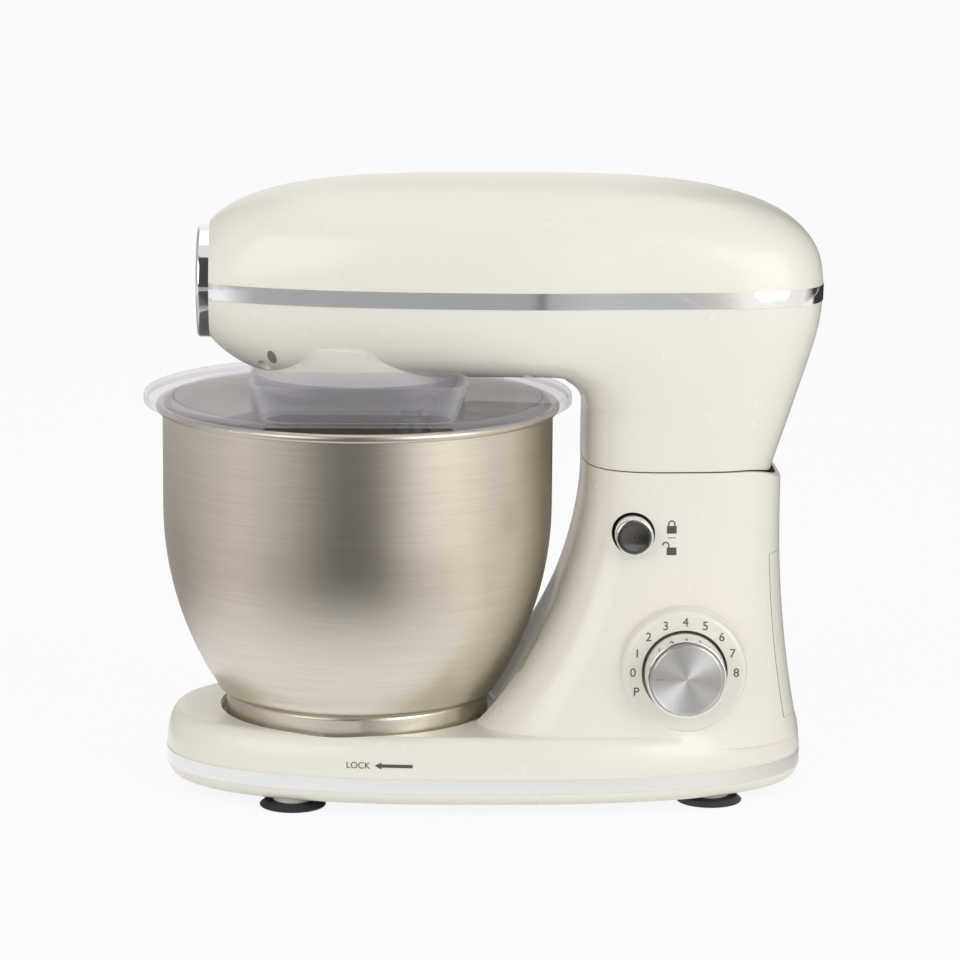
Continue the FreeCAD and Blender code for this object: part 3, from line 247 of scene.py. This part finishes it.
def clearFinish():
    # clear sheet with a pale veil that thickens where it is seen along its face
    f = Finish("clearPlastic")
    side = f.node("ShaderNodeLayerWeight", {}, {"Blend": 0.5}, "Facing")
    rim = f.limits(side, clearGuard["rimFrom"], clearGuard["rimTo"])
    haze = f.noise(f.place(), clearGuard["hazeScale"])
    f.shade({"Base Color": f.blend(rim, clearGuard["clear"], clearGuard["edge"]),
             "Roughness": clearGuard["rough"] + clearGuard["haze"] * haze,
             "IOR": 1.5, "Coat Weight": clearGuard["coat"], "Coat Roughness": clearGuard["coatRough"]})
    through = clearGuard["facing"] - clearGuard["slant"] * side * side - clearGuard["rim"] * rim
    shadow = f.node("ShaderNodeLightPath", out="Is Shadow Ray")
    bounce = f.node("ShaderNodeLightPath", out="Is Diffuse Ray")
    passing = f.node("ShaderNodeMath", {"operation": "MAXIMUM"}, {0: shadow, 1: bounce})
    share = f.node("ShaderNodeMath", {"operation": "MAXIMUM"},
                   {0: passing * clearGuard["shadowPass"], 1: through})
    f.mixInto(share, f.node("ShaderNodeBsdfTransparent", {}, {"Color": clearGuard["tint"]}))
    return f


spunFace = {"low": (0.71, 0.72, 0.73, 1), "high": (0.88, 0.89, 0.90, 1), "scale": 4200.0, "rough": 0.30,
            "roughDrift": 0.10, "spread": 0.9, "depth": 0.12, "height": 0.0001}


def spunFinish():
    # rings about the knob's own axis
    f = Finish("spunAluminium")
    radius = f.axisDistance(f.place(), ("X", "Y"))
    rings = f.node("ShaderNodeTexNoise", {"noise_dimensions": "1D"},
                   {"W": radius, "Scale": spunFace["scale"], "Detail": 4.0}, "Fac")
    return f.shade({"Base Color": f.blend(rings, spunFace["low"], spunFace["high"]), "Metallic": 1.0,
                    "Roughness": spunFace["rough"] + spunFace["roughDrift"] * rings,
                    "Anisotropic": spunFace["spread"], "Anisotropic Rotation": 0.25,
                    "Normal": f.bump(rings, spunFace["depth"], spunFace["height"])})


# the "dark" colour is a painted reflection on the chrome face; "rim" is the plain plated chrome round it
buttonFace = {"axis": (0.0826, 0, 0.1546), "radius": 0.0092, "soften": 0.0002, "dark": (0.34, 0.34, 0.335, 1),
              "rim": (0.86, 0.86, 0.85, 1), "rough": 0.07, "wear": 0.05, "wearScale": 300.0}


def buttonFinish():
    # painted reflection: the chrome face is given a darker metal colour that stands in for the dark
    # reflection it shows, inside a bright plated chrome rim
    f = Finish("paintedDarkReflectionButton")
    where = f.place(buttonFace["axis"])
    inner, outer = buttonFace["radius"] - buttonFace["soften"], buttonFace["radius"] + buttonFace["soften"]
    rim = f.limits(f.axisDistance(where, ("X", "Z")), inner, outer)
    marks = f.noise(where, buttonFace["wearScale"])
    return f.shade({"Base Color": f.blend(rim, buttonFace["dark"], buttonFace["rim"]), "Metallic": 1.0,
                    "Roughness": buttonFace["rough"] + buttonFace["wear"] * marks})


finishes = {
    "cream_shell": creamFinish("creamShell"),
    "chrome_trim": plateFinish("chromePlate", (0.94, 0.945, 0.945), 0.05),
    "silver_trim": plateFinish("silverStrip", (0.86, 0.86, 0.85), 0.16),
    "bowl_steel": bowlFinish(),
    "clear_guard": clearFinish(),
    "black_rubber": moulded("blackRubber", (0.018, 0.018, 0.018), 0.55),
    "spun_aluminium": plateFinish("turnedAluminium", (0.72, 0.72, 0.72), 0.22),
    "cast_aluminium": moulded("castAluminium", (0.55, 0.55, 0.54), 0.42, 700.0, 0.3),
    "steel_part": machined("machinedSteel", (0.52, 0.52, 0.53), 0.26),
    "black_plastic": moulded("blackPlastic", (0.030, 0.030, 0.033), 0.42),
    "grey_plastic": moulded("greyPlastic", (0.42, 0.41, 0.39), 0.48),
    "bronze_bush": machined("sinteredBronze", (0.58, 0.40, 0.20), 0.36),
    "copper_winding": machined("copperWire", (0.62, 0.27, 0.13), 0.30, 900.0),
    "board_green": moulded("circuitBoard", (0.02, 0.16, 0.06), 0.45),
    "gear_nylon": moulded("naturalNylon", (0.70, 0.68, 0.60), 0.45),
}
finishes["cast_aluminium"].shade({"Metallic": 1.0})
ownFinish = {"release_button": buttonFinish(), "foot_stems": creamFinish("stemCream", 0.86, 0.34),
             "dial_bezel": creamFinish("bezelCream", 0.98)}
slotOf = {part["node"]: part["material_slot"] for part in frame["record"]["subparts"]}
shading = {"weld": 0.00001, "buttonWeld": 0.0004, "crease": 32}

for name, solid in nodes.items():
    solid.data.materials.clear()
    solid.data.materials.append(ownFinish.get(name, finishes[slotOf[name]]).material)
    solid.data.polygons.foreach_set("use_smooth", [True] * len(solid.data.polygons))
    weld = solid.modifiers.new("weld", "WELD")
    weld.merge_threshold = shading["buttonWeld"] if name == "release_button" else shading["weld"]
    split = solid.modifiers.new("edges", "EDGE_SPLIT")
    split.split_angle = math.radians(shading["crease"])
print("finishes:", len(finishes) + len(ownFinish))


def surfaceOf(name):
    # a search tree over a node's resting surface
    data = nodes[name].data
    corners = [v.co.copy() for v in data.vertices]
    return BVHTree.FromPolygons(corners, [list(p.vertices) for p in data.polygons])


def addMesh(name, corners, faces, finish):
    mesh = bpy.data.meshes.new(name)
    mesh.from_pydata([tuple(c) for c in corners], [], faces)
    mesh.validate()
    mesh.materials.append(finish.material)
    made = bpy.data.objects.new(name, mesh)
    scene.collection.objects.link(made)
    return made


def addPiece(name, corners, faces, finish, body):
    piece = addMesh(name, corners, faces, finish)
    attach(piece, body)
    return piece


ink = {"grey": (0.085, 0.085, 0.09), "thick": 0.00012, "lift": 0.00002, "dropFrom": -0.20, "curveSteps": 6}
inkFinish = moulded("greyInk", ink["grey"], 0.5, 900.0, 0.05)


def letterShape(text, size):
    # flat letters as corners and faces, centred on their own middle
    curve = bpy.data.curves.new("letters", "FONT")
    curve.body = text
    curve.size = size
    curve.extrude = ink["thick"] / 2
    curve.resolution_u = ink["curveSteps"]
    holder = bpy.data.objects.new("letters", curve)
    scene.collection.objects.link(holder)
    bpy.context.view_layer.update()
    mesh = bpy.data.meshes.new_from_object(holder.evaluated_get(bpy.context.evaluated_depsgraph_get()))
    corners = [v.co.copy() for v in mesh.vertices]
    faces = [list(p.vertices) for p in mesh.polygons]
    bpy.data.objects.remove(holder)
    bpy.data.meshes.remove(mesh)
    middleX = (min(c.x for c in corners) + max(c.x for c in corners)) / 2
    middleY = (min(c.y for c in corners) + max(c.y for c in corners)) / 2
    return [Vector((c.x - middleX, c.y - middleY, c.z + ink["thick"] / 2)) for c in corners], faces


def slabShape(points, cells=1):
    # a flat closed slab on four points, in a row of cells along its first and third sides
    a, b, c, d = [Vector((x, y, 0)) for x, y in points]
    corners, faces = [], []
    for z in (0.0, ink["thick"]):
        for k in range(cells + 1):
            t = k / cells
            corners += [a.lerp(b, t) + Vector((0, 0, z)), d.lerp(c, t) + Vector((0, 0, z))]
    top = 2 * (cells + 1)
    for k in range(cells):
        p = 2 * k
        faces += [[p, p + 1, p + 3, p + 2], [top + p, top + p + 2, top + p + 3, top + p + 1]]
        faces += [[p, p + 2, top + p + 2, top + p], [p + 1, top + p + 1, top + p + 3, p + 3]]
    last = 2 * cells
    faces += [[0, top, top + 1, 1], [last, last + 1, top + last + 1, top + last]]
    return corners, faces


def barShape(left, right, low, high, cells=1):
    return slabShape([(left, low), (right, low), (right, high), (left, high)], cells)


def archShape(x, y, radius, width, start, stop, steps=14):
    # a flat closed bow of one width
    corners, faces = [], []
    for k in range(steps + 1):
        angle = math.radians(start + (stop - start) * k / steps)
        for r in (radius - width / 2, radius + width / 2):
            for z in (0.0, ink["thick"]):
                corners.append(Vector((x + r * math.cos(angle), y + r * math.sin(angle), z)))
    for k in range(steps):
        p = 4 * k
        faces += [[p, p + 4, p + 6, p + 2], [p + 1, p + 3, p + 7, p + 5], [p, p + 1, p + 5, p + 4],
                  [p + 2, p + 6, p + 7, p + 3]]
    last = 4 * steps
    faces += [[0, 2, 3, 1], [last, last + 1, last + 3, last + 2]]
    return corners, faces


def ovalShape(halfX, halfY, steps=28):
    # a flat closed oval slab
    turns = [2 * math.pi * k / steps for k in range(steps)]
    corners = []
    for z in (0, ink["thick"]):
        corners.append(Vector((0, 0, z)))
        corners += [Vector((halfX * math.cos(t), halfY * math.sin(t), z)) for t in turns]
    faces, top = [], steps + 1
    for k in range(steps):
        a, b = 1 + k, 1 + (k + 1) % steps
        faces += [[0, b, a], [top, top + a, top + b], [a, b, top + b, top + a]]
    return corners, faces


def joinShapes(shapes):
    corners, faces = [], []
    for more, sides in shapes:
        first = len(corners)
        corners += more
        faces += [[first + k for k in side] for side in sides]
    return corners, faces


def printOn(name, shape, surface, middle, body, turn=0.0, finish=inkFinish):
    # lays a flat mark on a surface that faces the control side
    corners, faces = shape
    laid = []
    for c in corners:
        x = c.x * math.cos(turn) - c.y * math.sin(turn)
        y = c.x * math.sin(turn) + c.y * math.cos(turn)
        start = Vector((middle[0] + x, ink["dropFrom"], middle[1] + y))
        spot, normal = surface.ray_cast(start, Vector((0, 1, 0)))[:2]
        out = normal if normal.y < 0 else -normal
        laid.append(spot + out * (c.z + ink["lift"]))
    return addPiece(name, laid, faces, finish, body)


dial = {"x": 0.111, "z": 0.0795, "ring": 0.0287, "size": 0.0070, "step": 22.5, "marks": "P012345678"}
bezel = surfaceOf("dial_bezel")
for k, mark in enumerate(dial["marks"]):
    angle = math.radians(180 - dial["step"] * (k - 1))
    spot = (dial["x"] + dial["ring"] * math.cos(angle), dial["z"] + dial["ring"] * math.sin(angle))
    printOn("dialMark" + mark, letterShape(mark, dial["size"]), bezel, spot, "base")
print("dial marks:", len(dial["marks"]))

knob = {"faceR": 0.0198, "back": -0.0913, "edge": 0.0003, "proud": 0.0008, "dish": 0.00025, "chamfer": 0.0009,
        "rings": 18, "around": 128, "crease": 20}


def faceHeight(radius):
    # the face is a little hollow towards its middle
    return knob["proud"] - knob["dish"] * (1 - (radius / knob["faceR"]) ** 2)


def spunDisc():
    # turned face with a bright chamfer, made about its own axis
    inner = knob["faceR"] - knob["chamfer"]
    profile = [(knob["faceR"], 0.0), (knob["faceR"], knob["edge"]), (inner, knob["proud"])]
    for k in range(1, knob["rings"]):
        radius = inner * (1 - k / knob["rings"])
        profile.append((radius, faceHeight(radius)))
    n = knob["around"]
    turns = [2 * math.pi * k / n for k in range(n)]
    corners = [(r * math.cos(t), r * math.sin(t), height) for r, height in profile for t in turns]
    faces = []
    for row in range(len(profile) - 1):
        for k in range(n):
            m = (k + 1) % n
            faces.append([row * n + k, row * n + m, (row + 1) * n + m, (row + 1) * n + k])
    middle, last = len(corners), len(corners) - n
    corners += [(0, 0, profile[-1][1]), (0, 0, 0)]
    faces += [[last + k, last + (k + 1) % n, middle] for k in range(n)]
    faces += [[(k + 1) % n, k, middle + 1] for k in range(n)]
    return corners, faces


corners, faces = spunDisc()
disc = addPiece("spunKnobFace", corners, faces, spunFinish(), "dial")
disc.data.polygons.foreach_set("use_smooth", [True] * len(disc.data.polygons))
crisp = disc.modifiers.new("edges", "EDGE_SPLIT")
crisp.split_angle = math.radians(knob["crease"])
standUp = Matrix.Rotation(math.pi / 2, 4, "X")
disc.matrix_world = Matrix.Translation((dial["x"], knob["back"], dial["z"])) @ standUp
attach(disc, "dial")
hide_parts("knob_face")

pointer = {"from": 0.0125, "to": 0.0182, "width": 0.0011, "grey": (0.30, 0.30, 0.30)}
corners, faces = barShape(-pointer["to"], -pointer["from"], -pointer["width"] / 2, pointer["width"] / 2, 6)
laid = [(dial["x"] + c.x, knob["back"] - faceHeight(c.xy.length) - c.z - ink["lift"], dial["z"] + c.y)
        for c in corners]
addPiece("knobPointer", laid, faces, moulded("pointerGrey", pointer["grey"], 0.45), "dial")
print("knob face and pointer")

padlock = {"x": 0.1037, "shutZ": 0.1592, "openZ": 0.1472, "wide": 0.0054, "tall": 0.0042, "bow": 0.0017,
           "leg": 0.0012, "line": 0.0007, "swing": 1.9, "dash": (0.0022, 0.0002), "dashDrop": 0.0006}
column = surfaceOf("base_shell")


def padlockShape(isOpen):
    # the open one has its bow swung out to the left, on one leg
    half, line = padlock["wide"] / 2, padlock["line"]
    x = -padlock["bow"] * padlock["swing"] if isOpen else 0.0
    shapes = [barShape(-half, half, -padlock["tall"], 0, 2),
              archShape(x, padlock["leg"], padlock["bow"], line, 0, 180)]
    for side in [1] if isOpen else [-1, 1]:
        left = x + side * padlock["bow"] - line / 2
        shapes.append(barShape(left, left + line, 0, padlock["leg"]))
    return joinShapes(shapes)


printOn("padlockShut", padlockShape(False), column, (padlock["x"], padlock["shutZ"]), "base")
printOn("padlockOpen", padlockShape(True), column, (padlock["x"], padlock["openZ"]), "base")
dashX, dashZ = padlock["dash"]
between = (padlock["shutZ"] + padlock["openZ"]) / 2 - padlock["dashDrop"]
printOn("padlockDash", barShape(-dashX, dashX, -dashZ, dashZ, 2), column, (padlock["x"], between), "base")

lockMark = {"wordX": -0.0695, "arrowX": -0.0500, "z": 0.0295, "size": 0.0050, "long": 0.0208, "bar": 0.0009,
            "barFrom": 0.003, "tip": 0.0036, "tipHalf": 0.0019, "blunt": 0.0001}


def arrowShape():
    # points to the left, with a slightly blunt tip
    half, bar = lockMark["long"] / 2, lockMark["bar"]
    shaft = barShape(-half + lockMark["barFrom"], half, -bar, bar, 8)
    neckX, tipHalf, blunt = -half + lockMark["tip"], lockMark["tipHalf"], lockMark["blunt"]
    tip = slabShape([(-half, -blunt), (neckX, -tipHalf), (neckX, tipHalf), (-half, blunt)], 3)
    return joinShapes([shaft, tip])


printOn("lockWord", letterShape("LOCK", lockMark["size"]), column, (lockMark["wordX"], lockMark["z"]), "base")
printOn("lockArrow", arrowShape(), column, (lockMark["arrowX"], lockMark["z"]), "base")

# painted shade: each screw hole is shown by a flat dark oval laid on the head's lower housing, with a
# mirrored copy on the far side. Its colour is the cream in shade and stands in for the shade inside the hole
holeShadeSpot = {"x": -0.1176, "z": 0.2511, "half": (0.0023, 0.0040), "turn": 24, "shade": (0.30, 0.245, 0.175)}
holeShadeFinish = moulded("holeShade", holeShadeSpot["shade"], 0.5)
nearHoleShade = printOn("paintedHoleShadeNear", ovalShape(*holeShadeSpot["half"]), surfaceOf("head_lower_housing"),
               (holeShadeSpot["x"], holeShadeSpot["z"]), "head", math.radians(holeShadeSpot["turn"]), holeShadeFinish)
mirrored = [(v.co.x, -v.co.y, v.co.z) for v in nearHoleShade.data.vertices]
flipped = [list(p.vertices)[::-1] for p in nearHoleShade.data.polygons]
addPiece("paintedHoleShadeFar", mirrored, flipped, holeShadeFinish, "head")
print("printed marks and screw holes done")

# studio: pale floor, even sky, soft boxes, and sheets that only shiny surfaces see
studio = {"floor": (0.90, 0.90, 0.90, 1), "floorDim": (0.89, 0.89, 0.89, 1), "floorHalf": 25, "glow": 0.9,
          "sky": 0.56, "white": (1, 1, 1, 1), "backdrop": (0.8, 0.8, 0.8, 1), "aim": (0, 0, 0.17)}


def paleFloor():
    # white to the camera, and still a floor that takes the shadow
    f = Finish("paleFloor")
    tone = f.blend(f.noise(f.place(), 30.0), studio["floorDim"], studio["floor"])
    f.shade({"Base Color": tone, "Roughness": 0.9})
    glow = f.node("ShaderNodeEmission", {}, {"Color": studio["white"], "Strength": 1.0})
    f.mixInto(f.seenRays() * studio["glow"], glow)
    return f


side = studio["floorHalf"]
floorPlane = addMesh("floor", [(-side, -side, 0), (side, -side, 0), (side, side, 0), (-side, side, 0)],
                     [[0, 1, 2, 3]], paleFloor())

scene.world = bpy.data.worlds.new("studio")
scene.world.use_nodes = True
sky = Graph(scene.world.node_tree)
light = sky.node("ShaderNodeBackground", {}, {"Color": studio["white"], "Strength": studio["sky"]})
plain = sky.node("ShaderNodeBackground", {}, {"Color": studio["backdrop"], "Strength": 1.0})
mixed = sky.node("ShaderNodeMixShader", {}, {0: sky.seenRays(), 1: light, 2: plain})
sky.feed(sky.tree.nodes["World Output"].inputs["Surface"], mixed)

softBoxes = [
    {"name": "keyBox", "at": (-1.6, -1.8, 1.1), "size": 1.8, "power": 17.0},
    {"name": "fillBox", "at": (1.7, -1.6, 1.0), "size": 1.6, "power": 18.0},
    {"name": "topBox", "at": (0.1, 0.6, 2.3), "size": 1.8, "power": 5.0},
]
for spec in softBoxes:
    lamp = bpy.data.lights.new(spec["name"], "AREA")
    lamp.energy = spec["power"]
    lamp.size = spec["size"]
    box = bpy.data.objects.new(spec["name"], lamp)
    box.location = spec["at"]
    box.rotation_euler = (Vector(studio["aim"]) - box.location).to_track_quat("-Z", "Y").to_euler()
    scene.collection.objects.link(box)

# each sheet is a ring round the bowl, between two edges given as radius and height
# its tones go by degrees from the control side, and fade in from white with the radius
sheets = [
    {"name": "sheetNear", "edges": [(0.12, 0.003), (1.22, 0.003)], "fade": (0.13, 0.37), "warm": 0.88,
     "tones": [(-180, 0.8), (-168, 0.40), (-120, 0.36), (-68, 0.74), (-34, 0.30), (-12, 0.07), (10, 0.08),
               (34, 0.58), (62, 1.0), (86, 0.70), (110, 0.08), (150, 0.02), (168, 0.05), (180, 0.8)]},
    {"name": "sheetFar", "edges": [(1.26, 0.003), (2.60, 0.003)], "fade": (0.0, 0.1), "warm": 1.0,
     "tones": [(-180, 0.45), (-150, 0.5), (-118, 0.9), (-64, 0.95), (-44, 0.43), (5.5, 0.40), (6.3, 0.16),
               (7.6, 0.16), (8.4, 0.43), (24, 0.62), (42, 0.95), (104, 1.0), (112, 0.04), (160, 0.04),
               (172, 0.40), (180, 0.45)]},
    {"name": "sheetHigh", "edges": [(2.7, 0.0), (2.7, 4.2)], "fade": (0.0, 0.1), "warm": 0.92,
     "tones": [(-180, 1.0), (-165, 0.95), (-150, 0.40), (-110, 0.4), (-68, 0.80), (-40, 0.10), (-2, 0.06),
               (9, 0.20), (26, 1.0), (86, 0.9), (108, 0.05), (160, 0.03), (172, 1.0), (180, 1.0)]},
]


def sheetFinish(spec):
    f = Finish(spec["name"])
    where = f.place(bowlSteel["axis"])
    across, along = [f.node("ShaderNodeSeparateXYZ", {}, {0: where}, axis) for axis in ("X", "Y")]
    angle = f.node("ShaderNodeMath", {"operation": "ARCTAN2"}, {0: across, 1: 0 - along})
    stops = [((turn + 180) / 360, (tone, tone * (1 + spec["warm"]) / 2, tone * spec["warm"], 1))
             for turn, tone in spec["tones"]]
    ramp = f.node("ShaderNodeValToRGB", {"stops": stops}, {"Fac": angle / (2 * math.pi) + 0.5}, "Color")
    fade = f.limits(f.axisDistance(where, ("X", "Y")), *spec["fade"])
    return f.shade({"Base Color": (0, 0, 0, 1), "Emission Color": f.blend(fade, studio["white"], ramp),
                    "Emission Strength": 1.0, "Specular IOR Level": 0.0})


def ringShape(edges, steps=72):
    corners = []
    for k in range(steps):
        angle = 2 * math.pi * k / steps
        corners += [(bowlSteel["axis"][0] + r * math.sin(angle), -r * math.cos(angle), z) for r, z in edges]
    n = 2 * steps
    return corners, [[2 * k, 2 * k + 1, (2 * k + 3) % n, (2 * k + 2) % n] for k in range(steps)]


for spec in sheets:
    corners, faces = ringShape(spec["edges"])
    sheet = addMesh(spec["name"], corners, faces, sheetFinish(spec))
    sheet.visible_camera = False
    sheet.visible_diffuse = False
    sheet.visible_shadow = False
    sheet.visible_transmission = False

view = {"at": (-0.0778, -2.200, 0.5980), "yaw": 0.0350, "pitch": 0.1905, "roll": 0.0090, "focal": 3954.6,
        "image": 960, "sensor": 36.0}
lens = bpy.data.cameras.new("photoView")
lens.sensor_width = view["sensor"]
lens.lens = view["focal"] / view["image"] * view["sensor"]
camera = bpy.data.objects.new("photoView", lens)
camera.location = view["at"]
turnTo = Matrix.Rotation(-view["yaw"], 3, "Z") @ Matrix.Rotation(math.pi / 2 - view["pitch"], 3, "X")
camera.rotation_euler = (turnTo @ Matrix.Rotation(view["roll"], 3, "Z")).to_euler()
scene.collection.objects.link(camera)
scene.camera = camera
print("studio and camera set")
